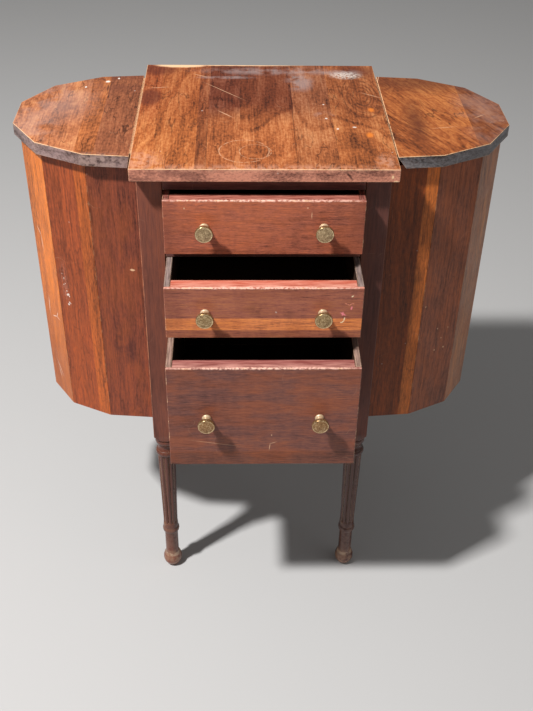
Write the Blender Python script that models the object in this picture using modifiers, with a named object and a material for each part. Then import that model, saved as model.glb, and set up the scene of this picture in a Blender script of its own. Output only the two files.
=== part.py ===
"""Sewing cabinet: drawers between four turned legs, and a staved wing with a hinged lid on each side.

Metres, +Z up, front towards -Y. The origin is on the floor, under the middle of the cabinet's box
with the drawers pulled out as they stand.
"""

import math

import bmesh
import bpy
from mathutils import Matrix, Vector

# Whole cabinet
HEIGHT = 0.750
FIT = 0.0003  # gap between pieces that touch
CASE_HALF_WIDTH = 0.1602  # outer faces of the posts
CASE_HALF_DEPTH = 0.1476
CASE_BOTTOM = 0.308
POST_WIDTH = 0.032

# Centre top
TOP_WIDTH = 0.3326
TOP_DEPTH = 0.336
TOP_THICK = 0.0174
TOP_EDGE = 0.0012  # worn arris

# Wings and lids: half dodecagons drawn out a little sideways, with their ends splayed towards the case
END_SPLAY = 0.006
LID_DROP = 0.0027  # the lid's top lies this far below the centre top's
LID_THICK = 0.0169
LID_CENTRE_X = 0.1904
LID_CENTRE_Y = 0.0025  # the lids sit a little towards the back
LID_REACH_X = 0.1389
LID_REACH_Y = 0.1248
LID_LAND = 0.002  # upright part of the lid's inner edge, above the undercut
LID_UNDERCUT = {"left": 0.003, "right": 0.011}
LID_EDGE = 0.0010
WING_CENTRE_X = 0.1930
WING_REACH_X = 0.1288
WING_REACH_Y = 0.1104
STAVE_THICK = 0.0125
STAVE_EDGE = 0.0004
WING_FLOOR_RISE = 0.004
WING_FLOOR_THICK = 0.010

# Strip hinges
BARREL_RADIUS = 0.0009
BARREL_CLEAR = 0.0002  # barrel to the wood on either side
BARREL_SIDES = 12
PIN_RADIUS = 0.0004
BORE_RADIUS = 0.00055
LEAF_THICK = 0.0005
LEAF_WIDTH = 0.012
KNUCKLES = 9
HINGE_LENGTH = 0.244

# Case boards
SIDE_THICK = 0.012
BACK_THICK = 0.008
BACK_SET_IN = 0.003
RAIL_SET_BACK = 0.001
RAIL_DEPTH = 0.022
RAIL_HEIGHT = 0.019
TOP_RAIL_HEIGHT = 0.022
DUST_BOARD_THICK = 0.008
BOTTOM_BOARD_THICK = 0.012

# Drawers, from the top down: name, height of the front, how far it stands open
DRAWERS = (("top_drawer", 0.0776, 0.0249), ("middle_drawer", 0.0776, 0.0719), ("bottom_drawer", 0.1684, 0.1108))
DRAWER_CLEAR = 0.0008  # above and below each front
DRAWER_SIDE_CLEAR = 0.0013
DRAWER_DEPTH = 0.270
FRONT_THICK = 0.019
FRONT_LIP = 0.004  # the front's ends lap over the sides
FRONT_EDGE = 0.0008
DRAWER_SIDE = 0.008
DRAWER_BOTTOM_RISE = 0.006
DRAWER_BOTTOM_THICK = 0.005
DRAWER_BACK_DROP = 0.006
KNOB_X = 0.0755
KNOB_RISE = 0.001  # above the middle of the front
KNOB_LENGTH = 0.0210
KNOB_RADIUS = 0.0115
KNOB_DOME = 0.0032
KNOB_SIDES = 24

# Turned legs: heights above the floor
POST_END = 0.2856
POST_SHOULDER = 0.0095  # the post's corners are turned away this far up
POST_EDGE = 0.0008
LEG_SIDES = 20
BEAD_STEPS = 4
REED_TOP = 0.2528
REED_END = 0.1030
REED_COUNT = 10
REED_SIDES = 10
REEDED_RADIUS_TOP = 0.0138
REEDED_RADIUS_END = 0.0114
REED_SHARE = 0.245  # a reed's radius as a share of the reeded shaft's
CORE_SHARE = 0.76  # the shaft's core inside the reeds
BUN_RADIUS = 0.0152
BUN_HALF_HEIGHT = 0.0185
BUN_MIDDLE = 0.0160
NECK_RADIUS = 0.0106

# Colours (linear), roughness and metallic value
WALNUT_TOP = ((0.185, 0.060, 0.020), 0.42, 0.0)
WALNUT_CASE = ((0.120, 0.036, 0.018), 0.48, 0.0)
WALNUT_LEG = ((0.085, 0.025, 0.015), 0.45, 0.0)
DRAWER_WOOD = ((0.200, 0.130, 0.085), 0.70, 0.0)
BRASS = ((0.270, 0.180, 0.070), 0.42, 1.0)

# Values worked out from those above
CASE_TOP = HEIGHT - TOP_THICK - FIT
LID_TOP = HEIGHT - LID_DROP
STAVE_TOP = LID_TOP - LID_THICK - FIT
POST_INNER = CASE_HALF_WIDTH - POST_WIDTH
BAY_HALF_DEPTH = CASE_HALF_DEPTH - POST_WIDTH - FIT  # the boards between the posts
CASE_FRONT = -CASE_HALF_DEPTH
RAIL_FRONT = CASE_FRONT + RAIL_SET_BACK
BACK_FRONT = CASE_HALF_DEPTH - BACK_SET_IN - BACK_THICK
HINGE_X = TOP_WIDTH / 2 + BARREL_CLEAR + BARREL_RADIUS
HINGE_Z = LID_TOP - BARREL_RADIUS
LID_GAP = BARREL_RADIUS + BARREL_CLEAR  # hinge axis to the wood on either side
DRAWER_HALF_WIDTH = POST_INNER - DRAWER_SIDE_CLEAR
FRONT_REACH = CASE_HALF_DEPTH + max(pull for _, _, pull in DRAWERS) + FIT + KNOB_LENGTH
CENTRING_Y = (FRONT_REACH - TOP_DEPTH / 2) / 2

SIDES = (("left", -1), ("right", 1))


# Scene helpers

def clear_scene():
    for old in list(bpy.data.objects):
        bpy.data.objects.remove(old)


def new_collection(name):
    collection = bpy.data.collections.new(name)
    bpy.context.scene.collection.children.link(collection)
    return collection


def add_axis(name, parent, location):
    """An empty that carries the pieces of one moving body."""
    axis = bpy.data.objects.new(name, None)
    axis.empty_display_size = 0.03
    axis.location = location
    axis.parent = parent
    PARTS.objects.link(axis)
    return axis


def add_material(name, finish):
    colour, roughness, metallic = finish
    material = bpy.data.materials.new(name)
    material.use_nodes = True
    shader = material.node_tree.nodes["Principled BSDF"]
    shader.inputs["Base Color"].default_value = (*colour, 1.0)
    shader.inputs["Roughness"].default_value = roughness
    shader.inputs["Metallic"].default_value = metallic
    return material


def add_piece(name, mesh, parent, location, finish):
    piece = bpy.data.objects.new(name, mesh)
    piece.location = location
    piece.parent = parent
    mesh.materials.append(None)
    piece.material_slots[0].link = "OBJECT"
    piece.material_slots[0].material = add_material(name, finish)
    PARTS.objects.link(piece)
    return piece


def add_cutter(name, mesh, parent=None):
    cutter = bpy.data.objects.new(name, mesh)
    cutter.parent = parent
    cutter.hide_render = True
    cutter.display_type = "WIRE"
    CUTTERS.objects.link(cutter)
    return cutter


def evaluated_mesh(piece):
    """The mesh that a helper object comes to with its modifiers. The helper is then removed."""
    depsgraph = bpy.context.evaluated_depsgraph_get()
    mesh = bpy.data.meshes.new_from_object(piece.evaluated_get(depsgraph))
    bpy.data.objects.remove(piece)
    return mesh


def soften(piece, width, segments=1):
    bevel = piece.modifiers.new("worn edges", "BEVEL")
    bevel.width = width
    bevel.segments = segments
    bevel.limit_method = "ANGLE"
    bevel.angle_limit = math.radians(40)


def combine(piece, other, operation, crossing=False):
    boolean = piece.modifiers.new(operation.lower(), "BOOLEAN")
    boolean.operation = operation
    boolean.object = other
    boolean.use_self = crossing


# Shape helpers

def box_mesh(name, low, high):
    size = Vector(high) - Vector(low)
    middle = (Vector(high) + Vector(low)) / 2
    shape = bmesh.new()
    place = Matrix.Translation(middle) @ Matrix.Diagonal(size).to_4x4()
    bmesh.ops.create_cube(shape, size=1.0, matrix=place)
    mesh = bpy.data.meshes.new(name)
    shape.to_mesh(mesh)
    shape.free()
    return mesh


def add_board(name, parent, low, high, finish, edge=0.0, segments=1):
    """A board between two corners given in its parent's frame."""
    middle = (Vector(high) + Vector(low)) / 2
    mesh = box_mesh(name, Vector(low) - middle, Vector(high) - middle)
    board = add_piece(name, mesh, parent, middle, finish)
    if edge:
        soften(board, edge, segments)
    return board


def outline_mesh(name, points, low, high):
    """A flat outline in X and Y, solid from low to high in Z."""
    curve = bpy.data.curves.new(name, "CURVE")
    curve.dimensions = "2D"
    curve.fill_mode = "BOTH"
    curve.extrude = (high - low) / 2
    spline = curve.splines.new("POLY")
    spline.points.add(len(points) - 1)
    for point, (x, y) in zip(spline.points, points):
        point.co = (x, y, 0.0, 1.0)
    spline.use_cyclic_u = True
    mesh = evaluated_mesh(add_cutter(name, curve))
    shape = bmesh.new()
    shape.from_mesh(mesh)
    bmesh.ops.remove_doubles(shape, verts=shape.verts, dist=1e-6)
    bmesh.ops.dissolve_limit(shape, angle_limit=0.01, verts=shape.verts, edges=shape.edges)
    bmesh.ops.recalc_face_normals(shape, faces=shape.faces)
    bmesh.ops.translate(shape, verts=shape.verts, vec=(0.0, 0.0, (low + high) / 2))
    shape.to_mesh(mesh)
    shape.free()
    return mesh


def section_mesh(name, points, length):
    """A section in X and Z, drawn out along Y evenly to both sides of Y = 0."""
    mesh = outline_mesh(name, points, -length / 2, length / 2)
    mesh.transform(Matrix.Rotation(math.pi / 2, 4, "X"))
    return mesh


def rods_mesh(name, radius, spans):
    """Rods along Y, one for each pair of ends."""
    shape = bmesh.new()
    for start, end in spans:
        place = Matrix.Translation((0.0, (start + end) / 2, 0.0)) @ Matrix.Rotation(math.pi / 2, 4, "X")
        bmesh.ops.create_cone(shape, cap_ends=True, segments=BARREL_SIDES, radius1=radius, radius2=radius,
                              depth=end - start, matrix=place)
    mesh = bpy.data.meshes.new(name)
    shape.to_mesh(mesh)
    shape.free()
    return mesh


def turned_helper(name, profile, sides):
    """A helper object turned about Z from points (radius, height) that run down the outer side."""
    mesh = bpy.data.meshes.new(name)
    points = [(radius, 0.0, height) for radius, height in profile]
    mesh.from_pydata(points, [(i, i + 1) for i in range(len(points) - 1)], [])
    helper = add_cutter(name, mesh)
    screw = helper.modifiers.new("turn", "SCREW")
    screw.steps = sides
    screw.render_steps = sides
    screw.use_merge_vertices = True
    screw.merge_threshold = 0.00001
    return helper


def bead(middle, half_height, core, swell):
    """Half-round bead down a turned profile, or a cove where the swell is below zero."""
    angles = [math.pi * step / BEAD_STEPS for step in range(BEAD_STEPS + 1)]
    return [(core + swell * math.sin(a), middle + half_height * math.cos(a)) for a in angles]


def bun():
    """Outline of the foot, from the neck down to the floor."""
    start = math.acos(NECK_RADIUS / BUN_RADIUS)
    end = math.asin(-BUN_MIDDLE / BUN_HALF_HEIGHT)
    steps = 6
    angles = [start + (end - start) * step / steps for step in range(steps + 1)]
    return [(BUN_RADIUS * math.cos(a), BUN_MIDDLE + BUN_HALF_HEIGHT * math.sin(a)) for a in angles]


# Legs

def leg_profile():
    """Turned part of a leg, from inside the post down to the floor."""
    inside_post = POST_END + 0.006
    profile = [(0.0, inside_post), (0.0128, inside_post), (0.0135, 0.2865)]
    profile += bead(0.2800, 0.0048, 0.0140, 0.0019)
    profile += bead(0.2682, 0.0064, 0.0141, -0.0030)
    profile += bead(0.2570, 0.0042, 0.0140, 0.0021)
    profile += [(REEDED_RADIUS_TOP * CORE_SHARE, REED_TOP), (REEDED_RADIUS_END * CORE_SHARE, REED_END)]
    profile += [(0.0116, 0.0995), (0.0122, 0.0905)]
    profile += bead(0.0842, 0.0044, 0.0118, 0.0017)
    profile += [(NECK_RADIUS, 0.0770)]
    profile += bun()
    return profile + [(0.0, 0.0)]


def shoulder_profile():
    """What the lathe leaves of the square post: everything inside a cone at its lower end."""
    inscribed = POST_WIDTH / 2
    beyond_corners = POST_WIDTH * 0.75
    over = 0.01
    slope = (POST_WIDTH / math.sqrt(2) - inscribed) / POST_SHOULDER
    cone_top = POST_END + (beyond_corners - inscribed) / slope
    cone_low = POST_END - (inscribed - NECK_RADIUS) / slope
    return [(0.0, CASE_TOP + over), (beyond_corners, CASE_TOP + over), (beyond_corners, cone_top),
            (NECK_RADIUS, cone_low), (0.0, cone_low)]


def reeds_mesh():
    """Ring of tapering round reeds along the shaft, their ends inside the beads above and below."""
    top = REED_TOP + 0.003
    end = REED_END - 0.008
    slope = (REEDED_RADIUS_TOP - REEDED_RADIUS_END) / (REED_TOP - REED_END)

    def shaft_radius(height):
        return REEDED_RADIUS_END + slope * (height - REED_END)

    radius_top = shaft_radius(top) * REED_SHARE
    radius_end = shaft_radius(end) * REED_SHARE
    centre_top = shaft_radius(top) - radius_top
    centre_end = shaft_radius(end) - radius_end
    lean = Matrix.Rotation(math.atan2(centre_top - centre_end, top - end), 4, "Y")
    middle = Matrix.Translation(((centre_top + centre_end) / 2, 0.0, (top + end) / 2))
    shape = bmesh.new()
    for index in range(REED_COUNT):
        around = Matrix.Rotation(2 * math.pi * (index + 0.5) / REED_COUNT, 4, "Z")
        bmesh.ops.create_cone(shape, cap_ends=True, segments=REED_SIDES, radius1=radius_end,
                              radius2=radius_top, depth=top - end, matrix=around @ middle @ lean)
    mesh = bpy.data.meshes.new("reeds")
    shape.to_mesh(mesh)
    shape.free()
    return mesh


def leg_mesh():
    half = POST_WIDTH / 2
    post = add_cutter("leg_post", box_mesh("leg_post", (-half, -half, POST_END), (half, half, CASE_TOP)))
    soften(post, POST_EDGE)
    shoulder = turned_helper("leg_shoulder", shoulder_profile(), LEG_SIDES)
    combine(post, shoulder, "INTERSECT")
    reeds = add_cutter("leg_reeds", reeds_mesh())
    turning = turned_helper("leg_turning", leg_profile(), LEG_SIDES)
    combine(turning, reeds, "UNION", crossing=True)
    combine(turning, post, "UNION")
    mesh = evaluated_mesh(turning)
    for helper in (post, shoulder, reeds):
        bpy.data.objects.remove(helper)
    return mesh


def add_legs(cabinet):
    mesh = leg_mesh()
    axis_x = CASE_HALF_WIDTH - POST_WIDTH / 2
    axis_y = CASE_HALF_DEPTH - POST_WIDTH / 2
    for end, y in (("front", -axis_y), ("back", axis_y)):
        for side, sign in SIDES:
            add_piece(f"leg_{end}_{side}", mesh.copy(), cabinet, (sign * axis_x, y, 0.0), WALNUT_LEG)


# Case

def add_case(cabinet):
    half_top = (TOP_WIDTH / 2, TOP_DEPTH / 2)
    add_board("centre_top", cabinet, (-half_top[0], -half_top[1], HEIGHT - TOP_THICK),
              (half_top[0], half_top[1], HEIGHT), WALNUT_TOP, TOP_EDGE, 2)
    for side, sign in SIDES:
        outer, inner = sign * CASE_HALF_WIDTH, sign * (CASE_HALF_WIDTH - SIDE_THICK)
        add_board(f"{side}_side_panel", cabinet, (min(outer, inner), -BAY_HALF_DEPTH, CASE_BOTTOM),
                  (max(outer, inner), BAY_HALF_DEPTH, CASE_TOP), WALNUT_CASE)
    between_posts = POST_INNER - FIT
    add_board("back_panel", cabinet, (-between_posts, BACK_FRONT, CASE_BOTTOM),
              (between_posts, BACK_FRONT + BACK_THICK, CASE_TOP), WALNUT_CASE)


def add_rail(name, cabinet, low, high):
    between_posts = POST_INNER - FIT
    add_board(name, cabinet, (-between_posts, RAIL_FRONT, low),
              (between_posts, RAIL_FRONT + RAIL_DEPTH, high), WALNUT_CASE, POST_EDGE)


def add_inner_board(name, cabinet, top, thick):
    """A level board behind a rail, notched round the posts."""
    narrow = POST_INNER - FIT
    wide = CASE_HALF_WIDTH - SIDE_THICK - FIT
    front = RAIL_FRONT + RAIL_DEPTH + FIT
    back = BACK_FRONT - FIT
    half = [(narrow, front), (narrow, -BAY_HALF_DEPTH), (wide, -BAY_HALF_DEPTH),
            (wide, BAY_HALF_DEPTH), (narrow, BAY_HALF_DEPTH), (narrow, back)]
    outline = half + [(-x, y) for x, y in reversed(half)]
    mesh = outline_mesh(name, outline, -thick, 0.0)
    add_piece(name, mesh, cabinet, (0.0, 0.0, top), WALNUT_CASE)


# Wings

def half_dodecagon(inner_x, centre_x, reach_x, reach_y):
    """Outline of one wing from its front inner end round to its back inner end, on the +X side."""
    to_corner = 1 / math.cos(math.radians(15))
    corners = [(centre_x + reach_x * to_corner * math.cos(a), reach_y * to_corner * math.sin(a))
               for a in (math.radians(degrees) for degrees in (-75, -45, -15, 15, 45, 75))]
    end_y = reach_y + END_SPLAY
    return [(inner_x, -end_y)] + corners + [(inner_x, end_y)]


def inset(outline, depth):
    """The same open outline moved inwards, to the left of its run, with mitred corners.

    Its two ends keep their X, against the side of the case.
    """
    points = [Vector(point) for point in outline]
    runs = [(after - before).normalized() for before, after in zip(points, points[1:])]
    normals = [Vector((-run.y, run.x)) for run in runs]
    moved = [points[0] + depth * (normals[0] - runs[0] * normals[0].x / runs[0].x)]
    for point, first, second in zip(points[1:], normals, normals[1:]):
        moved.append(point + depth * (first + second) / (1 + first.dot(second)))
    moved.append(points[-1] + depth * (normals[-1] - runs[-1] * normals[-1].x / runs[-1].x))
    return moved


def add_wing(cabinet, side, sign):
    inner_x = CASE_HALF_WIDTH + FIT
    outer = half_dodecagon(inner_x, WING_CENTRE_X, WING_REACH_X, WING_REACH_Y)
    inner = inset(outer, STAVE_THICK)
    outer = [Vector(point) for point in outer]
    for index in range(len(outer) - 1):
        joint = (outer[index + 1] - outer[index]).normalized() * FIT / 2
        stave = [outer[index] + joint, outer[index + 1] - joint,
                 inner[index + 1] - joint, inner[index] + joint]
        name = f"{side}_stave_{index + 1}"
        mesh = outline_mesh(name, [(sign * p.x, p.y) for p in stave], 0.0, STAVE_TOP - CASE_BOTTOM)
        piece = add_piece(name, mesh, cabinet, (0.0, 0.0, CASE_BOTTOM), WALNUT_CASE)
        soften(piece, STAVE_EDGE)
    floor = inset([tuple(point) for point in outer], STAVE_THICK + FIT)
    name = f"{side}_wing_floor"
    mesh = outline_mesh(name, [(sign * p.x, p.y) for p in floor], 0.0, WING_FLOOR_THICK)
    add_piece(name, mesh, cabinet, (0.0, 0.0, CASE_BOTTOM + WING_FLOOR_RISE), WALNUT_CASE)


# Lids and their hinges, drawn from the hinge axis

def add_lid(lid_axis, side, sign):
    outline = half_dodecagon(LID_GAP, LID_CENTRE_X - HINGE_X, LID_REACH_X, LID_REACH_Y)
    mesh = outline_mesh(f"{side}_lid", [(sign * x, y) for x, y in outline],
                        BARREL_RADIUS - LID_THICK, BARREL_RADIUS)
    lid = add_piece(f"{side}_lid", mesh, lid_axis, (0.0, 0.0, 0.0), WALNUT_TOP)
    slope = LID_UNDERCUT[side] / (LID_THICK - LID_LAND)
    over = 0.004
    land_z = BARREL_RADIUS - LID_LAND
    below = BARREL_RADIUS - LID_THICK - over
    wedge = [(LID_GAP - over, land_z + over / slope), (LID_GAP + slope * (land_z - below), below),
             (LID_GAP - over, below)]
    mesh = section_mesh(f"{side}_undercut", [(sign * x, z) for x, z in wedge], 3 * LID_REACH_Y)
    combine(lid, add_cutter(f"{side}_undercut", mesh, lid_axis), "DIFFERENCE")
    soften(lid, LID_EDGE, 2)


def knuckle_spans(first):
    """Every other knuckle's ends along the hinge, with a running gap."""
    pitch = HINGE_LENGTH / KNUCKLES
    starts = [-HINGE_LENGTH / 2 + pitch * index for index in range(first, KNUCKLES, 2)]
    return [(start + FIT, start + pitch - FIT) for start in starts]


def add_leaf(name, parent, location, section, own, other):
    """A hinge leaf: its plate, its own knuckles, and room for the other leaf's."""
    leaf = add_piece(name, section_mesh(name, section, HINGE_LENGTH), parent, location, BRASS)
    room = BARREL_RADIUS + FIT
    widened = [(start - FIT, end + FIT) for start, end in other]
    bore = [(-HINGE_LENGTH, HINGE_LENGTH)]
    for mesh, operation in ((rods_mesh(f"{name}_room", room, widened), "DIFFERENCE"),
                            (rods_mesh(f"{name}_knuckles", BARREL_RADIUS, own), "UNION"),
                            (rods_mesh(f"{name}_bore", BORE_RADIUS, bore), "DIFFERENCE")):
        cutter = add_cutter(mesh.name, mesh, parent)
        cutter.location = location
        combine(leaf, cutter, operation)


def add_hinge(cabinet, lid_axis, side, sign):
    place = (sign * HINGE_X, LID_CENTRE_Y, HINGE_Z)
    wood = LID_GAP - FIT
    top_leaf = [(-wood, 0.0), (LEAF_THICK - wood, 0.0), (LEAF_THICK - wood, -LEAF_WIDTH), (-wood, -LEAF_WIDTH)]
    add_leaf(f"{side}_hinge_top_leaf", cabinet, place, [(sign * x, z) for x, z in top_leaf],
             knuckle_spans(0), knuckle_spans(1))

    land = Vector((LID_GAP, BARREL_RADIUS - LID_LAND))
    down = Vector((LID_UNDERCUT[side], LID_LAND - LID_THICK)).normalized()
    away = Vector((down.y, -down.x))
    near, far = land + away * FIT, land + away * (FIT + LEAF_THICK)
    start, end = -down * 0.001, down * LEAF_WIDTH
    lid_leaf = [near + start, near + end, far + end, far + start]
    add_leaf(f"{side}_hinge_lid_leaf", lid_axis, (0.0, 0.0, 0.0), [(sign * p.x, p.y) for p in lid_leaf],
             knuckle_spans(1), knuckle_spans(0))

    name = f"{side}_hinge_pin"
    half = HINGE_LENGTH / 2
    add_piece(name, rods_mesh(name, PIN_RADIUS, [(-half, half)]), cabinet, place, BRASS)


# Drawers, drawn from the middle of the front's lower edge

def knob_mesh():
    """Mushroom knob with a low domed face, standing along +Z."""
    rim = KNOB_LENGTH - KNOB_DOME
    steps = 4
    dome = [(KNOB_RADIUS * math.sin(a), rim + KNOB_DOME * math.cos(a))
            for a in (math.pi / 2 * step / steps for step in range(steps + 1))]
    dome[0] = (0.0, KNOB_LENGTH)
    stem = [(0.0112, rim - 0.0016), (0.0085, rim - 0.0034), (0.0052, rim - 0.0052), (0.0044, rim - 0.0075),
            (0.0044, 0.0060), (0.0052, 0.0042), (0.0058, 0.0028), (0.0058, 0.0), (0.0, 0.0)]
    return evaluated_mesh(turned_helper("knob", dome + stem, KNOB_SIDES))


def add_drawer(slide, name, height, knob):
    half = DRAWER_HALF_WIDTH
    inside = half - DRAWER_SIDE - FIT
    front = [(half, 0.0), (half, FRONT_LIP), (inside, FRONT_LIP), (inside, FRONT_THICK)]
    outline = front + [(-x, y) for x, y in reversed(front)]
    mesh = outline_mesh(f"{name}_front", outline, 0.0, height)
    soften(add_piece(f"{name}_front", mesh, slide, (0.0, 0.0, 0.0), WALNUT_CASE), FRONT_EDGE)
    for side, sign in SIDES:
        outer, inner = sign * half, sign * (half - DRAWER_SIDE)
        add_board(f"{name}_{side}_side", slide, (min(outer, inner), FRONT_LIP + FIT, 0.0),
                  (max(outer, inner), DRAWER_DEPTH, height), DRAWER_WOOD, FRONT_EDGE)
        handle = add_piece(f"{name}_{side}_knob", knob.copy(), slide,
                           (sign * KNOB_X, -FIT, height / 2 + KNOB_RISE), BRASS)
        handle.rotation_euler = (math.pi / 2, 0.0, 0.0)
    floor_top = DRAWER_BOTTOM_RISE + DRAWER_BOTTOM_THICK
    add_board(f"{name}_bottom", slide, (-inside, FRONT_THICK + FIT, DRAWER_BOTTOM_RISE),
              (inside, DRAWER_DEPTH, floor_top), DRAWER_WOOD)
    add_board(f"{name}_back", slide, (-inside, DRAWER_DEPTH - DRAWER_SIDE, floor_top + FIT),
              (inside, DRAWER_DEPTH, height - DRAWER_BACK_DROP), DRAWER_WOOD)


def add_drawers(cabinet):
    """Rails, boards and drawers from the top down."""
    knob = knob_mesh()
    opening_top = CASE_TOP - TOP_RAIL_HEIGHT
    add_rail("top_rail", cabinet, opening_top, CASE_TOP)
    below = {"top_drawer": "upper", "middle_drawer": "lower"}
    for name, height, pull in DRAWERS:
        base = opening_top - DRAWER_CLEAR - height
        slide = add_axis(f"{name}_slide", cabinet, (0.0, CASE_FRONT - pull, base))
        add_drawer(slide, name, height, knob)
        carrier = base - DRAWER_CLEAR
        opening_top = carrier - RAIL_HEIGHT
        if name in below:
            add_rail(f"{below[name]}_drawer_rail", cabinet, opening_top, carrier)
            add_inner_board(f"{below[name]}_dust_board", cabinet, carrier, DUST_BOARD_THICK)
        else:
            add_rail("bottom_rail", cabinet, CASE_BOTTOM, carrier)
            add_inner_board("bottom_board", cabinet, carrier, BOTTOM_BOARD_THICK)


clear_scene()
PARTS = new_collection("sewing_cabinet")
CUTTERS = new_collection("cutters")


def main():
    cabinet = add_axis("cabinet", None, (0.0, CENTRING_Y, 0.0))
    add_legs(cabinet)
    add_case(cabinet)
    add_drawers(cabinet)
    for side, sign in SIDES:
        add_wing(cabinet, side, sign)
        lid_axis = add_axis(f"{side}_lid_axis", cabinet, (sign * HINGE_X, LID_CENTRE_Y, HINGE_Z))
        add_lid(lid_axis, side, sign)
        add_hinge(cabinet, lid_axis, side, sign)


main()
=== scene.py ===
"""Looks of the sewing cabinet: worn varnished wood and aged brass in a plain studio."""

import math

import bmesh
import bpy
from mathutils import Matrix, Vector


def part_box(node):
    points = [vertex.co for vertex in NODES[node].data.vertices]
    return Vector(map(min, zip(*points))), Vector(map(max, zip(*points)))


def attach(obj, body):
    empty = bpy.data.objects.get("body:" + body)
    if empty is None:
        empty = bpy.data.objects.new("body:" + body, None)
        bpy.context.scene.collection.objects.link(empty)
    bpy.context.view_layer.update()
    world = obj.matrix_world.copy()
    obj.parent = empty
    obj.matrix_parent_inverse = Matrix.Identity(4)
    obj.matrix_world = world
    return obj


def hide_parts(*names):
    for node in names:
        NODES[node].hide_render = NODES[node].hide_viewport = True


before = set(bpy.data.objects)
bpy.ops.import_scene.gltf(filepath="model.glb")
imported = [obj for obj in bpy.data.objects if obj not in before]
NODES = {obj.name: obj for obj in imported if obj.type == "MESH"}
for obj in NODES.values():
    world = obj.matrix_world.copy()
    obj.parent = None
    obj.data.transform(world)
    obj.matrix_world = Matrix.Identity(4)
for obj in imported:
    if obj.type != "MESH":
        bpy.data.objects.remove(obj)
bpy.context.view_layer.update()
SIDES = (("left", -1), ("right", 1))
DRAWERS = ("top_drawer", "middle_drawer", "bottom_drawer")

# Camera, from the photograph's viewpoint
FRAME_HEIGHT = 711
FOCAL_PIXELS = 1000
CAMERA_PLACE = (-0.0315, -1.21375, 1.3079)
CAMERA_PITCH = math.radians(37.393)
CAMERA_YAW = math.radians(1.950)
CAMERA_ROLL = math.radians(1.065)
SENSOR = 36

# Studio, with the key light where the sun stood
FLOOR_COLOUR = (0.52, 0.51, 0.50, 1)
FLOOR_ROUGHNESS = 0.9
FLOOR_REACH = 6.0
KEY_PLACE = (-1.50, -1.13, 3.22)
KEY_SIZE = 0.22
KEY_POWER = 168
FILL_PLACE = (2.5, -1.3, 1.9)
FILL_SIZE = 2.2
FILL_POWER = 6.5
LIGHT_TARGET = Vector((0, 0, 0.5))
WORLD_COLOUR = (1, 1, 1, 1)
WORLD_STRENGTH = 0.18

# Directions of the wood: across the board, then along its grain
ACROSS = Vector((1, 0, 0))
UP = Vector((0, 0, 1))
BACKWARD = Vector((0, 1, 0))
FORWARD = Vector((0, -1, 0))
FRONT_TO_BACK = (ACROSS, BACKWARD)
SIDEWAYS = (UP, ACROSS)
UPRIGHT = (ACROSS, UP)
UPRIGHT_AT_SIDE = (BACKWARD, UP)
LENGTHWISE = (UP, BACKWARD)


def tone(red, green, blue):
    """A colour written in screen values from 0 to 255."""
    def linear(value):
        value /= 255
        return value / 12.92 if value <= 0.04045 else ((value + 0.055) / 1.055) ** 2.4
    return (linear(red), linear(green), linear(blue), 1)


BARE_WOOD = tone(240, 196, 152)
PALE_SCRATCH = tone(232, 184, 146)
WHITE_FLECK = tone(240, 230, 218)
DARK_CRACK = tone(44, 20, 14)
# Painted shade: near black laid into grooves and corners
CREVICE_SHADE = tone(20, 11, 8)
# Painted sheen: a pale grey that stands for the sky's reflection on the varnish
SKY_SHEEN = tone(170, 152, 148)
WARM_PATCH = tone(176, 90, 40)

# How the shader nodes read a surface
NOISE_RANGE = (0.28, 0.72)  # holds nearly all the values of a noise
EDGE_RANGE = (0.985, 0.80)  # cosine between a face and its rounded normal, from face to edge
ARRIS_LEAVES = (0.08, 0.30)  # cosine to a face's normal where a softened edge leaves the faces beside it
ARRIS_MEETS = (0.99, 0.93)  # and where it meets the face
CREVICE_RANGE = (0.75, 0.25)
RAY_COUNT = 6
BUMP_STRENGTH = 0.6


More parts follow.
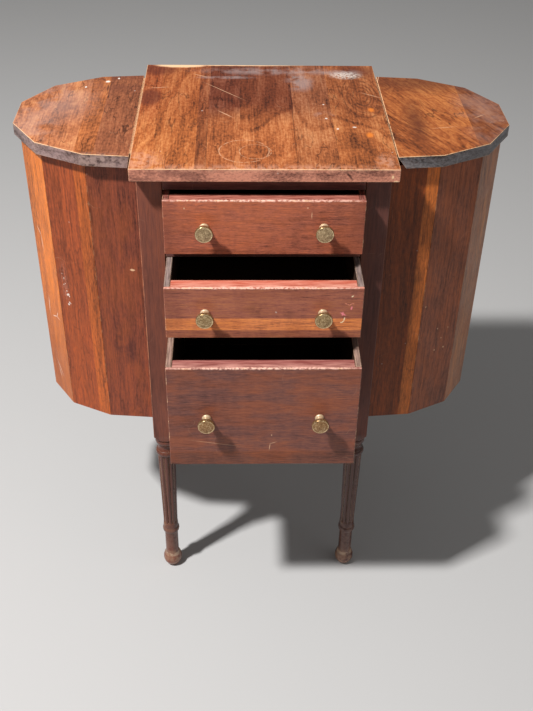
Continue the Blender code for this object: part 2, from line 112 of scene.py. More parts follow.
class Nodes:
    """A material's node tree, written as calls that give output sockets."""

    def __init__(self, name):
        self.material = bpy.data.materials.new(name)
        self.material.use_nodes = True
        self.tree = self.material.node_tree
        self.shader = self.tree.nodes["Principled BSDF"]
        self.place = self.add("ShaderNodeTexCoord").outputs["Object"]

    def add(self, kind, **settings):
        node = self.tree.nodes.new(kind)
        for name, value in settings.items():
            setattr(node, name, value)
        return node

    def put(self, socket, value):
        if isinstance(value, bpy.types.NodeSocket):
            self.tree.links.new(value, socket)
        else:
            socket.default_value = value

    def math(self, operation, first, second=0.0):
        node = self.add("ShaderNodeMath", operation=operation)
        self.put(node.inputs[0], first)
        self.put(node.inputs[1], second)
        return node.outputs[0]

    def vector(self, operation, first, second=(0, 0, 0)):
        node = self.add("ShaderNodeVectorMath", operation=operation)
        self.put(node.inputs[0], first)
        self.put(node.inputs[1], second)
        return node.outputs["Value"] if operation in ("DOT_PRODUCT", "LENGTH") else node.outputs[0]

    def combine(self, x, y, z):
        node = self.add("ShaderNodeCombineXYZ")
        for socket, value in zip(node.inputs, (x, y, z)):
            self.put(socket, value)
        return node.outputs[0]

    def noise(self, vector, stretch, detail=2.0, roughness=0.5, colour=False):
        """Noise stretched alike in all directions by a number, or differently by three."""
        node = self.add("ShaderNodeTexNoise")
        stretches = stretch if isinstance(stretch, tuple) else (stretch, stretch, stretch)
        self.put(node.inputs["Vector"], self.vector("MULTIPLY", vector, stretches))
        self.put(node.inputs["Scale"], 1.0)
        self.put(node.inputs["Detail"], detail)
        self.put(node.inputs["Roughness"], roughness)
        return node.outputs[1 if colour else 0]

    def bands(self, value, scale, detail):
        node = self.add("ShaderNodeTexNoise", noise_dimensions="1D")
        self.put(node.inputs["W"], value)
        self.put(node.inputs["Scale"], scale)
        self.put(node.inputs["Detail"], detail)
        return node.outputs[0]

    def between(self, value, low, high, start=0.0, end=1.0):
        node = self.add("ShaderNodeMapRange", interpolation_type="SMOOTHSTEP")
        for socket, item in zip(node.inputs, (value, low, high, start, end)):
            self.put(socket, item)
        return node.outputs[0]

    def ramp(self, value, stops, interpolation="LINEAR"):
        node = self.add("ShaderNodeValToRGB")
        ramp = node.color_ramp
        ramp.interpolation = interpolation
        while len(ramp.elements) < len(stops):
            ramp.elements.new(1.0)
        for element, (position, colour) in zip(ramp.elements, stops):
            element.position = position
            element.color = colour
        self.put(node.inputs[0], value)
        return node.outputs[0]

    def mix(self, factor, first, second, blend="MIX"):
        node = self.add("ShaderNodeMix", data_type="RGBA", blend_type=blend)
        self.put(node.inputs[0], factor)
        self.put(node.inputs[6], first)
        self.put(node.inputs[7], second)
        return node.outputs[2]

    def scale(self, value, factor):
        return self.math("MULTIPLY", value, factor)

    def total(self, values):
        """Sum of sockets; the last may be a plain number."""
        result = values[0]
        for value in values[1:]:
            result = self.math("ADD", result, value)
        return result

    def spread(self, value, gain):
        """A texture's value as plus or minus half the gain."""
        return self.scale(self.math("SUBTRACT", value, 0.5), gain)

    def swing(self, value, gain):
        """The same for a noise, whose values crowd round the middle, stretched to its full range."""
        return self.between(value, *NOISE_RANGE, -gain / 2, gain / 2)

    def midline(self, value):
        """How far a noise is from its middle value; near 0 it draws thin lines."""
        return self.math("ABSOLUTE", self.math("SUBTRACT", value, 0.5))

    def crevices(self, reach):
        """1 deep in grooves and corners, 0 on open faces."""
        shade = self.add("ShaderNodeAmbientOcclusion", samples=RAY_COUNT, only_local=True)
        self.put(shade.inputs["Distance"], reach)
        return self.between(shade.outputs["AO"], *CREVICE_RANGE)

    def facing(self, low, high):
        """How far a face looks up, 1 above high and 0 below low, as the piece stands at rest."""
        parts = self.add("ShaderNodeSeparateXYZ")
        self.put(parts.inputs[0], self.add("ShaderNodeTexCoord").outputs["Normal"])
        return self.between(parts.outputs["Z"], low, high)

    def edges(self, radius):
        """1 on the outer edges of the piece, 0 on its faces."""
        bevel = self.add("ShaderNodeBevel", samples=RAY_COUNT)
        self.put(bevel.inputs["Radius"], radius)
        normal = self.add("ShaderNodeNewGeometry").outputs["True Normal"]
        turned = self.vector("DOT_PRODUCT", bevel.outputs[0], normal)
        return self.between(turned, *EDGE_RANGE)

    def arris(self, face):
        """1 on the softened edges round a face, 0 on that face and on those square to it."""
        normal = self.add("ShaderNodeTexCoord").outputs["Normal"]
        turned = self.vector("DOT_PRODUCT", normal, tuple(face))
        return self.scale(self.between(turned, *ARRIS_LEAVES), self.between(turned, *ARRIS_MEETS))

    def finish(self, colour, roughness, height, depth, metallic=0.0, shine=0.5):
        self.put(self.shader.inputs["Base Color"], colour)
        self.put(self.shader.inputs["Specular IOR Level"], shine)
        self.put(self.shader.inputs["Roughness"], roughness)
        self.put(self.shader.inputs["Metallic"], metallic)
        bump = self.add("ShaderNodeBump")
        self.put(bump.inputs["Strength"], BUMP_STRENGTH)
        self.put(bump.inputs["Distance"], depth)
        self.put(bump.inputs["Height"], height)
        self.put(self.shader.inputs["Normal"], bump.outputs[0])
        return self.material


# Marks of use, and patches of painted shade, sheen and highlight: each is a place, its reach along
# three axes, how those axes are turned, how soft its outline is, and 1 if only the outline shows.
# A group of them is written as its colour, its strength, how finely it is broken up (0 for whole) and the
# marks.
SHALLOW = 0.003  # depth of a scratch or of a mark on a drawer front
LINE_SOFT = 0.6
LEVEL = (0.0, 0.0, 0.0)
FINE_MARK = 0.0015  # a mark narrower than this has a steadier outline
RAGGED_BY = 0.004
STEADY_BY = 0.001
BROKEN_RANGE = (0.36, 0.58)


def spot(place, reach, soft=0.35):
    return (place, reach, LEVEL, soft, 0.0)


def line(start, end, width, face=UP):
    """A scratch on the face with the given normal."""
    run = Vector(end) - Vector(start)
    middle = (Vector(start) + Vector(end)) / 2
    along = run.normalized()
    across = face.cross(along)
    turn = Matrix((along, across, along.cross(across))).transposed().to_euler()
    return (tuple(middle), (run.length / 2, width, SHALLOW), tuple(turn), LINE_SOFT, 0.0)


def strokes(points, width, face=UP):
    """A bent scratch, as lines from each point to the next."""
    return [line(start, end, width, face) for start, end in zip(points, points[1:])]


def ring(place, reach, width):
    """A level loop, its reach given along X and Y."""
    return (place, (*reach, 1.0), LEVEL, width / min(reach), 1.0)


# Wood: how each noise is stretched across the grain, into the board and along the grain, and how
# far three of them shift what they bend
RING_BENDS = (9, 9, 3.2)
RING_WAVES = (34, 34, 12)
RING_DIPS = (5, 5, 2)
RING_DIPS_BY = 0.06
PITH_DRIFT = (0.9, 0.9, 0.5)
PITH_DRIFT_BY = 0.12
FIBRES = (430, 430, 26)
FLECKS = 300  # along the grain, each wood has its own stretch
STREAKS = (58, 58, 1.6)
PATCHES = (11, 11, 5)
RIPPLES = (13, 13, 90)
VEINS = (46, 46, 11)
VEIN_CLUSTERS = (17, 17, 7)
WARM_PATCHES = (44, 44, 16)
TINT_BORDER = (16, 16, 9)
TINT_BORDER_BY = 0.07
PORES = (640, 640, 30)
SANDED_STREAKS = (460, 460, 34)

# Wear that takes no notice of the grain, stretched along X, Y and Z
BOARD_WANDER = 6
RAGGED_OUTLINE = 110
SCUFF_CLOUDS = (16, 16, 50)
SCUFF_GRIT = (240, 240, 420)
HAIRLINES = (19, 23, 17)
HAIRLINE_CLUSTERS = (31, 27, 29)
SPECK_CELLS = 62.0
THIN_VARNISH = 70
DULL_PATCHES = 38
DULL_PATCHES_BY = 0.26
WORN_DULLER_BY = 0.25

# Each seed takes its wood from another part of the tree, and each joined board too
SEED_SHIFT = (1.7, 0.9, 2.3)
SEED_PITH = 0.01
BOARD_SHIFT = 31.7
LAST_BOARD = 0.1  # width given to the last board of a panel
TINT_CHANGE = (0.0, 0.09)  # where along Y the tint goes from that of the front to that of the back

CREVICE_REACH = 0.006
WOOD_BUMP = 0.00025
RELIEF = (0.5, -0.6, -0.4, 0.25)  # share of it for fibres, pores, hairlines and flecks
MATT_BAND = 0.01
MATT_ADDED = 0.45


class Wood(Nodes):
    """A node tree that knows the grain of its wood and the boards that it is joined from."""

    def __init__(self, name, grain, seed, boards, board_axis, board_soft):
        super().__init__(name)
        across_way, along_way = grain
        depth_way = across_way.cross(along_way)
        self.seed = seed
        self.across = self.vector("DOT_PRODUCT", self.place, tuple(across_way))
        self.along = self.vector("DOT_PRODUCT", self.place, tuple(along_way))
        self.depth = self.vector("DOT_PRODUCT", self.place, tuple(depth_way))
        across_shift, depth_shift, along_shift = [seed * shift for shift in SEED_SHIFT]
        self.boards = boards
        self.board_soft = board_soft
        if boards:
            self.board_place = self.vector("DOT_PRODUCT", self.place, tuple(board_axis or across_way))
        if boards and board_soft:
            wander = self.spread(self.noise(self.place, BOARD_WANDER), board_soft * 3)
            self.board_place = self.math("ADD", self.board_place, wander)
        elif boards:
            along_shift = self.math("ADD", self.scale(self.board_number(), BOARD_SHIFT), along_shift)
        self.timber = self.combine(self.math("ADD", self.across, across_shift),
                                   self.math("ADD", self.depth, depth_shift),
                                   self.math("ADD", self.along, along_shift))
        outline = self.noise(self.place, RAGGED_OUTLINE, 3.0, 0.6, colour=True)
        outline = self.vector("SUBTRACT", outline, (0.5, 0.5, 0.5))
        self.steady = self.shaken(outline, STEADY_BY)
        self.ragged = self.shaken(outline, RAGGED_BY)

    def shaken(self, outline, reach):
        return self.vector("ADD", self.place, self.vector("MULTIPLY", outline, (reach, reach, reach)))

    def board_colour(self, boards, column, soft):
        """Colour of each board across a joined panel; boards holds (start, front tint, back tint)."""
        low = boards[0][0]
        high = boards[-1][0] + LAST_BOARD
        spans = [((board[0] - low) / (high - low), board[column]) for board in boards]
        share = self.between(self.board_place, low, high)
        share.node.interpolation_type = "LINEAR"
        if not soft:
            return self.ramp(share, spans, "CONSTANT")
        edge = soft / (high - low)
        stops = [spans[0]]
        for before, after in zip(spans, spans[1:]):
            stops += [(after[0] - edge, before[1]), (after[0] + edge, after[1])]
        return self.ramp(share, stops)

    def board_number(self):
        """Which board a place lies on, as a share of their count."""
        shares = [number / len(self.boards) for number in range(len(self.boards))]
        steps = [(board[0], (share, share, share, 1)) for board, share in zip(self.boards, shares)]
        return self.board_colour(steps, 1, 0.0)

    def rings(self, count, slope, warp):
        """Growth rings round a pith that lies below the board, at a slant to it."""
        bend = self.spread(self.noise(self.timber, RING_BENDS, 3.0), warp * 4)
        wave = self.spread(self.noise(self.timber, RING_WAVES), warp)
        drift = self.spread(self.noise(self.timber, PITH_DRIFT), PITH_DRIFT_BY)
        dip = self.spread(self.noise(self.timber, RING_DIPS), RING_DIPS_BY)
        across = self.math("SUBTRACT", self.total([self.across, bend, wave]), drift)
        depth = self.total([self.depth, self.scale(self.along, slope), dip])
        radius = self.vector("LENGTH", self.combine(across, depth, self.seed * SEED_PITH))
        return self.bands(radius, count, 3.0)

    def veined(self, colour, strength):
        """Thin dark veins, in clusters."""
        middle = self.midline(self.noise(self.timber, VEINS, 2.5, 0.55))
        thread = self.between(middle, 0.014, 0.002, 0.0, strength)
        near = self.between(self.noise(self.timber, VEIN_CLUSTERS, 3.0), 0.42, 0.58)
        return self.mix(self.scale(thread, near), colour, DARK_CRACK)

    def warmed(self, colour, strength):
        glow = self.between(self.noise(self.timber, WARM_PATCHES, 4.0, 0.6), 0.40, 0.66, 0.0, strength)
        return self.mix(glow, colour, WARM_PATCH)

    def tinted(self, colour):
        """Each board in its own tint, or in one at the front and another at the back."""
        tint = self.board_colour(self.boards, 1, self.board_soft)
        if len(self.boards[0]) > 2:
            back = self.board_colour(self.boards, 2, self.board_soft)
            border = self.spread(self.noise(self.timber, TINT_BORDER, 3.0), TINT_BORDER_BY)
            reach = self.math("ADD", self.along, border)
            tint = self.mix(self.between(reach, *TINT_CHANGE), tint, back)
        return self.mix(1.0, colour, tint, "MULTIPLY")

    def sanded(self, colour, pair):
        """Streaks between two colours on the faces that look up."""
        streaky = self.between(self.noise(self.timber, SANDED_STREAKS, 4.0, 0.65), 0.34, 0.66)
        bare = self.ramp(streaky, [(0.0, pair[0]), (1.0, pair[1])])
        return self.mix(self.scale(self.facing(0.5, 0.8), 0.92), colour, bare)

    def scuffed(self, colour, pair):
        """Mottle between two colours on the faces that look sideways."""
        side = self.scale(self.facing(0.75, 0.45), self.facing(-0.9, -0.6))
        clouds = self.swing(self.noise(self.place, SCUFF_CLOUDS, 3.0), 0.8)
        grit = self.swing(self.noise(self.place, SCUFF_GRIT, 4.0, 0.65), 0.6)
        mottle = self.ramp(self.total([clouds, grit, 0.5]), [(0.1, pair[0]), (0.9, pair[1])])
        return self.mix(self.scale(side, 0.94), colour, mottle)

    def mark_mask(self, marks):
        """1 on the marks, fading over each one's soft edge; spots have ragged outlines."""
        masks = []
        for middle, reach, turn, soft, hollow in marks:
            thin = hollow or min(reach) < FINE_MARK
            mapping = self.add("ShaderNodeMapping", vector_type="TEXTURE")
            self.put(mapping.inputs["Vector"], self.steady if thin else self.ragged)
            self.put(mapping.inputs["Location"], middle)
            self.put(mapping.inputs["Rotation"], turn)
            self.put(mapping.inputs["Scale"], reach)
            distance = self.vector("LENGTH", mapping.outputs[0])
            if hollow:
                away = self.math("ABSOLUTE", self.math("SUBTRACT", distance, 1.0))
                masks.append(self.between(away, soft, 0.0))
            else:
                masks.append(self.between(distance, 1 + soft, 1 - soft))
        result = masks[0]
        for mask in masks[1:]:
            result = self.math("MAXIMUM", result, mask)
        return result

    def marked(self, colour, groups):
        for mark_colour, strength, patchy, marks in groups:
            mask = self.scale(self.mark_mask(marks), strength)
            if patchy:
                broken = self.noise(self.place, patchy, 3.0, 0.6)
                mask = self.scale(mask, self.between(broken, *BROKEN_RANGE))
            colour = self.mix(mask, colour, mark_colour)
        return colour

    def hairlines(self):
        """Thin scratches, in clusters."""
        hair = self.between(self.midline(self.noise(self.place, HAIRLINES, 1.5)), 0.0035, 0.0)
        return self.scale(hair, self.between(self.noise(self.place, HAIRLINE_CLUSTERS), 0.56, 0.66))

    def specks(self):
        """Small flecks in a few of many cells."""
        cells = self.add("ShaderNodeTexVoronoi")
        self.put(cells.inputs["Vector"], self.ragged)
        self.put(cells.inputs["Scale"], SPECK_CELLS)
        chosen = self.add("ShaderNodeSeparateColor")
        self.put(chosen.inputs[0], cells.outputs["Color"])
        middle = self.between(cells.outputs["Distance"], 0.11, 0.04)
        return self.scale(middle, self.between(chosen.outputs[0], 0.93, 0.94))

    def worn(self, edge, arris, strength, share):
        """Edges where the varnish is worn through, here and there."""
        mask = self.edges(edge)
        if arris is not None:
            mask = self.math("MAXIMUM", mask, self.arris(arris))
        mask = self.scale(mask, strength)
        return self.scale(mask, self.between(self.noise(self.place, THIN_VARNISH, 5.0, 0.7), *share))


def wood(name, grain, tones, seed, boards=(), board_axis=None, board_soft=0.0,
         ring_count=110.0, slope=0.05, warp=0.012, gains=(0.15, 0.2, 0.1, 0.2, 0.15), fine=1.0,
         fleck_run=90.0, ripple=0.0, veins=0.0, warm=0.0, pores=0.2, crown=None, rim=None, grime=0.0,
         marks=(), scratches=0.2, specks=0.3, wear=0.5, edge=0.0016, arris=None, worn_share=(0.30, 0.52),
         gloss=0.40, shine=0.25, dull_above=None):
    """Varnished wood with growth rings, fibres, pores, patches of tone, signs of use, and painted shade,
    sheen and highlights where asked.

    The gains are how strongly rings, fibres, flecks, long streaks and patches change the tone.
    crown is two colours for the faces that look up, rim two for those that look sideways."""
    nodes = Wood(name, grain, seed, boards, board_axis, board_soft)
    fibres = nodes.noise(nodes.timber, tuple(size * fine for size in FIBRES), 3.0, 0.6)
    flecks = nodes.noise(nodes.timber, (FLECKS * fine, FLECKS * fine, fleck_run * fine), 4.0, 0.65)
    streaks = nodes.noise(nodes.timber, STREAKS, 3.0, 0.55)
    patches = nodes.noise(nodes.timber, PATCHES)
    layers = (nodes.rings(ring_count, slope, warp), fibres, flecks, streaks, patches)
    parts = [nodes.swing(layer, gain) for layer, gain in zip(layers, gains)]
    if ripple:
        parts.append(nodes.swing(nodes.noise(nodes.timber, RIPPLES, 3.0, 0.6), ripple))
    dark, middle, light = tones
    colour = nodes.ramp(nodes.total(parts + [0.5]), [(0.10, dark), (0.5, middle), (0.9, light)])
    if veins:
        colour = nodes.veined(colour, veins)
    if warm:
        colour = nodes.warmed(colour, warm)
    if boards:
        colour = nodes.tinted(colour)
    pore = nodes.between(nodes.noise(nodes.timber, PORES), 0.56, 0.68)
    colour = nodes.mix(nodes.scale(pore, pores), colour, DARK_CRACK)

    if crown:
        colour = nodes.sanded(colour, crown)
    if rim:
        colour = nodes.scuffed(colour, rim)
    # Painted shade in grooves and corners, found by ambient occlusion
    if grime:
        colour = nodes.mix(nodes.scale(nodes.crevices(CREVICE_REACH), grime), colour, CREVICE_SHADE)
    colour = nodes.marked(colour, marks)
    hair = nodes.hairlines()
    colour = nodes.mix(nodes.scale(hair, scratches), colour, PALE_SCRATCH)
    colour = nodes.mix(nodes.scale(nodes.specks(), specks), colour, WHITE_FLECK)
    worn = nodes.worn(edge, arris, wear, worn_share)
    colour = nodes.mix(worn, colour, BARE_WOOD)

    dull = nodes.spread(nodes.noise(nodes.place, DULL_PATCHES, 4.0, 0.6), DULL_PATCHES_BY)
    roughness = nodes.total([dull, nodes.scale(worn, WORN_DULLER_BY), gloss])
    if dull_above:
        level = nodes.vector("DOT_PRODUCT", nodes.place, tuple(UP))
        matt = nodes.between(level, dull_above, dull_above + MATT_BAND, 0.0, MATT_ADDED)
        roughness = nodes.math("ADD", roughness, matt)
    raised = zip((fibres, pore, hair, flecks), RELIEF)
    height = nodes.total([nodes.scale(layer, share) for layer, share in raised])
    return nodes.finish(colour, roughness, height, WOOD_BUMP, shine=shine)


# Brass
BRASS_STAIN = 900
BRASS_CLOUDS = 240
BRASS_EDGE = 0.0008
BRASS_BUMP = 0.00008


def brass(name, tones, roughness, metallic, mottle):
    """Aged brass, browner in clouds and specks and rubbed bright on its edges."""
    nodes = Nodes(name)
    stain = nodes.noise(nodes.place, BRASS_STAIN, 3.0, 0.6)
    cloud = nodes.noise(nodes.place, BRASS_CLOUDS)
    rubbed = nodes.scale(nodes.edges(BRASS_EDGE), 0.4)
    level = nodes.total([nodes.swing(stain, mottle), nodes.swing(cloud, mottle / 2), rubbed, 0.5])
    dark, middle, bright = tones
    colour = nodes.ramp(level, [(0.08, dark), (0.5, middle), (0.95, bright)])
    dull = nodes.math("ADD", nodes.spread(stain, 0.3), roughness)
    return nodes.finish(colour, dull, stain, BRASS_BUMP, metallic)


def dress(node, material):
    """The material on every slot of a CAD node."""
    mesh_object = NODES[node]
    if not mesh_object.material_slots:
        mesh_object.data.materials.append(material)
    for entry in mesh_object.material_slots:
        entry.link = "OBJECT"
        entry.material = material


def dress_wood(node, grain, tones, seed, **settings):
    dress(node, wood(f"{node}_wood", grain, tones, seed, **settings))


def shades(middle):
    """Dark, middle and light tones round one colour."""
    red, green, blue = middle
    dark = tone(red * 0.50, green * 0.48, blue * 0.52)
    light = tone(min(red * 1.28, 255), green * 1.24, blue * 1.04)
    return (dark, tone(*middle), light)


# Tops: tones, and each board's start along X with its tint at the front and at the back
TOP_TONES = (tone(43, 18, 13), tone(168, 95, 52), tone(218, 149, 96))
TOP_RIM = (tone(94, 55, 48), tone(212, 141, 116))
TOP_BOARDS = (
    (-0.17, tone(255, 246, 230), tone(222, 196, 190)),
    (-0.1404, tone(255, 250, 236), tone(232, 216, 204)),
    (-0.0875, tone(222, 216, 220), tone(200, 186, 196)),
    (-0.073, tone(244, 238, 236), tone(158, 138, 158)),
    (-0.0305, tone(250, 244, 240), tone(172, 154, 168)),
    (0.0408, tone(240, 240, 246), tone(212, 212, 236)),
    (0.092, tone(244, 240, 232), tone(222, 214, 212)))
LEFT_LID_TONES = (tone(52, 23, 14), tone(175, 107, 69), tone(220, 155, 103))
LEFT_LID_RIM = (tone(53, 42, 41), tone(150, 126, 123))
LEFT_LID_BOARDS = (
    (-0.36, tone(255, 252, 252)),
    (-0.2395, tone(255, 240, 214)),
    (-0.2145, tone(214, 206, 212)))
RIGHT_LID_TONES = (tone(44, 17, 11), tone(152, 83, 43), tone(202, 129, 73))
# The right lid's edges: grey worn end grain, made darker and greyer than the left lid's by painted shade
RIGHT_LID_SHADED_RIM = (tone(45, 44, 45), tone(127, 125, 127))
RIGHT_LID_BOARDS = (
    (0.15, tone(255, 250, 240)),
    (0.277, tone(204, 200, 214)))
RIGHT_LID_SLANT = math.radians(24.0)
TOP_Z = 0.75
LID_Z = 0.7473
MARK_DEEP = 0.004
LID_MARK_DEEP = 0.006
ARCH_LONG = 2.6  # length of the figure round a knot against its width


def on_top(x, y):
    return (x, y, TOP_Z)


def on_lid(x, y):
    return (x, y, LID_Z)


def top_blot(x, y, wide, long, soft=0.35):
    return spot(on_top(x, y), (wide, long, MARK_DEEP), soft)


def top_line(start, end, width):
    return line(on_top(*start), on_top(*end), width)


def lid_blot(x, y, wide, long, soft=0.8):
    return spot(on_lid(x, y), (wide, long, LID_MARK_DEEP), soft)


def lid_fleck(x, y, wide, long):
    return spot(on_lid(x, y), (wide, long, MARK_DEEP))


def lid_line(start, end, width):
    return line(on_lid(*start), on_lid(*end), width)


def top_stains():
    """Painted sheen, greyed and stained patches, and the figure round two knots."""
    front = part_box("centre_top")[0].y
    dim = [spot((-0.118, front, 0.7413), (0.04, 0.004, 0.012), 0.7)]
    stain = [top_blot(-0.155, 0.104, 0.016, 0.027, 0.3), top_blot(-0.15, 0.205, 0.03, 0.02, 0.5),
             top_blot(0.14, 0.2, 0.026, 0.02, 0.6)]
    arches = [ring(on_top(0.14, 0.11), (half, ARCH_LONG * half), 0.0018)
              for half in (0.007, 0.012, 0.016, 0.021, 0.027)]
    knots = [top_blot(0.148, 0.064, 0.004, 0.006, 0.6), top_blot(0.138, -0.015, 0.004, 0.007, 0.6)]
    # Painted sheen of the sky on the varnish, mostly towards the back
    sheen_patches = [top_blot(0.02, 0.2, 0.085, 0.012, 0.7), top_blot(-0.05, 0.176, 0.034, 0.005, 0.6),
             top_blot(0.055, 0.16, 0.017, 0.03, 0.5), top_blot(0.11, 0.198, 0.03, 0.01, 0.6),
             top_blot(0.083, 0.045, 0.011, 0.01, 0.7)]
    greyed = [top_blot(-0.152, -0.092, 0.022, 0.024, 0.6), top_blot(0.0, -0.112, 0.19, 0.01, 0.8),
              top_blot(0.152, -0.09, 0.012, 0.018, 0.6)]
    return ((tone(110, 66, 60), 0.5, 70, dim),
            (tone(86, 38, 28), 0.62, 0, stain),
            (tone(60, 26, 14), 0.6, 90, arches),
            (tone(230, 128, 44), 0.75, 0, knots),
            (SKY_SHEEN, 0.48, 40, sheen_patches),
            (tone(212, 156, 128), 0.45, 120, greyed))


def top_damage():
    """Open seams, scratches, glass rings, chips and cracks."""
    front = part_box("centre_top")[0].y
    seams = [top_line((0.0404, 0.17), (0.0404, -0.107), 0.0007),
             top_line((0.0884, 0.0569), (0.0934, -0.0271), 0.0006),
             top_line((-0.073, 0.03), (-0.073, -0.107), 0.0006),
             top_blot(0.0404, 0.0, 0.006, 0.0016, 0.5)]
    cuts = [top_line((-0.1565, 0.1358), (-0.1315, 0.1397), 0.0007),
            top_line((-0.0965, 0.188), (-0.0774, 0.177), 0.0008),
            top_line((-0.0754, 0.1513), (-0.03, 0.1024), 0.0006),
            top_line((-0.0584, 0.0586), (-0.0408, 0.0394), 0.0008),
            top_line((0.1413, 0.1219), (0.1661, 0.1048), 0.0007)]
    rings = [ring(on_top(-0.0253, -0.0623), (0.0315, 0.0315), 0.0013),
             ring(on_top(-0.011, -0.064), (0.02, 0.02), 0.001)]
    scuffs = [top_blot(0.1228, 0.1855, 0.02, 0.012, 0.5)]
    flecks = [top_blot(0.0977, 0.0036, 0.0016, 0.0024), top_blot(0.1203, 0.0088, 0.0026, 0.002),
              top_blot(0.0842, 0.0814, 0.0012, 0.0016), top_blot(0.085, 0.0363, 0.0016, 0.002)]
    chips = [spot(on_top(-0.116, 0.2225), (0.036, 0.0095, 0.006), 0.25),
             spot(on_top(-0.03, 0.224), (0.09, 0.004, 0.004), 0.4),
             spot((0.157, front, 0.7395), (0.0016, 0.003, 0.0022)),
             spot((0.1613, front, 0.7335), (0.003, 0.003, 0.0014))]
    cracks = [top_line((0.071, -0.051), (0.083, -0.051), 0.001),
              line((0.1, front, 0.746), (0.1075, front, 0.7365), 0.0013, FORWARD)]
    return ((DARK_CRACK, 0.55, 0, seams),
            (PALE_SCRATCH, 0.6, 0, cuts),
            (PALE_SCRATCH, 0.5, 240, rings),
            (WHITE_FLECK, 0.6, 260, scuffs),
            (WHITE_FLECK, 0.7, 0, flecks),
            (BARE_WOOD, 0.95, 0, chips),
            (DARK_CRACK, 0.8, 0, cracks))


def dress_centre_top():
    marks = top_stains() + top_damage()
    dress_wood("centre_top", FRONT_TO_BACK, TOP_TONES, seed=3.1, boards=TOP_BOARDS, ring_count=230,
               warp=0.02, gains=(0.24, 0.22, 0.28, 0.2, 0.16), fleck_run=150, veins=0.6, rim=TOP_RIM,
               marks=marks, specks=0.35, wear=1.0, edge=0.0022, arris=UP)


def left_lid_marks():
    # The darker patches near the back are painted shade, and the greyed patches a painted sheen
    painted_shade = [lid_blot(-0.215, 0.165, 0.075, 0.032), lid_blot(-0.262, 0.075, 0.016, 0.03)]
    greyed = [lid_blot(-0.285, 0.095, 0.05, 0.06), lid_blot(-0.3, 0.02, 0.03, 0.06)]
    scratches = [lid_line((-0.238, 0.16), (-0.236, 0.115), 0.0008)]
    flecks = [lid_fleck(-0.2186, 0.1651, 0.003, 0.003), lid_fleck(-0.204, 0.1764, 0.0016, 0.0026),
              lid_fleck(-0.2475, 0.1448, 0.0014, 0.0024)]
    rubbed = [spot((-0.215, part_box("left_lid")[0].y, 0.738), (0.05, 0.014, 0.009), 0.5)]
    return ((tone(92, 48, 38), 0.5, 30, painted_shade),
            (SKY_SHEEN, 0.28, 25, greyed),
            (DARK_CRACK, 0.5, 0, scratches),
            (WHITE_FLECK, 0.85, 0, flecks),
            (tone(178, 150, 140), 0.6, 150, rubbed))


def dress_left_lid():
    dress_wood("left_lid", FRONT_TO_BACK, LEFT_LID_TONES, seed=7.4, boards=LEFT_LID_BOARDS,
               ring_count=180, warp=0.05, gains=(0.22, 0.18, 0.24, 0.1, 0.24), fleck_run=150, veins=0.7,
               rim=LEFT_LID_RIM, marks=left_lid_marks(), wear=1.0, edge=0.002, arris=UP)


def right_lid_marks():
    # The darker patches are painted shade, and the greyed patch a painted sheen
    painted_shade = [lid_blot(0.235, 0.168, 0.09, 0.03), lid_blot(0.205, 0.03, 0.012, 0.06, 0.9)]
    greyed = [lid_blot(0.3, 0.05, 0.03, 0.09, 0.7)]
    scratches = [lid_line((0.286, 0.046), (0.3, 0.056), 0.0006),
                 lid_line((0.225, 0.012), (0.255, 0.018), 0.0005),
                 lid_line((0.169, 0.17), (0.174, 0.2), 0.0006)]
    return ((tone(74, 34, 24), 0.62, 0, painted_shade),
            (SKY_SHEEN, 0.22, 25, greyed),
            (PALE_SCRATCH, 0.6, 0, scratches))


def dress_right_lid():
    turn = Matrix.Rotation(RIGHT_LID_SLANT, 3, "Z")
    slanted = (turn @ ACROSS, turn @ BACKWARD)
    dress_wood("right_lid", slanted, RIGHT_LID_TONES, seed=5.6, boards=RIGHT_LID_BOARDS, board_axis=ACROSS,
               ring_count=150, warp=0.08, gains=(0.26, 0.2, 0.24, 0.14, 0.22), fleck_run=150, veins=0.7,
               rim=RIGHT_LID_SHADED_RIM, marks=right_lid_marks(), specks=0.4, wear=1.0, edge=0.002, arris=UP)


# Wings: seven staves a side, from the front round to the back, and how each is turned
STAVE_TURNS = [math.radians(turn) for turn in (5, 26, 56, 90, 124, 154, 175)]
# The third right stave is greyer than the rest: a painted reflection
STAVE_TONES = {
    "left": ((132, 67, 47), (174, 88, 48), (212, 115, 44), (186, 94, 34),
             (160, 80, 38), (150, 74, 38), (140, 68, 38)),
    "right": ((188, 104, 51), (131, 76, 55), (158, 109, 82), (146, 80, 46),
              (146, 74, 40), (140, 70, 38), (134, 66, 36))}
STAVE_STRIPS = {
    "left_stave_2": ((-0.3, tone(220, 212, 220)), (-0.244, tone(255, 255, 226))),
    "right_stave_1": ((0.15, tone(172, 156, 146)), (0.2105, tone(255, 255, 240)))}
STAVE_SEED = 11.3
STAVE_SEED_STEP = 1.9
RIGHT_SEED_STEP = 4.7
DOT_TALL = 1.3  # height of a scrape against its width


def left_stave_1_marks():
    """A chip high up and a dark stain low down."""
    stain = [spot((-0.206, -0.057, 0.456), (0.008, 0.01, 0.034), 0.7),
             spot((-0.188, -0.058, 0.434), (0.01, 0.01, 0.022), 0.7)]
    chip = [spot((-0.176, -0.0592, 0.5717), (0.0032, 0.004, 0.0016))]
    return ((tone(54, 26, 32), 0.45, 60, stain), (BARE_WOOD, 0.8, 0, chip))


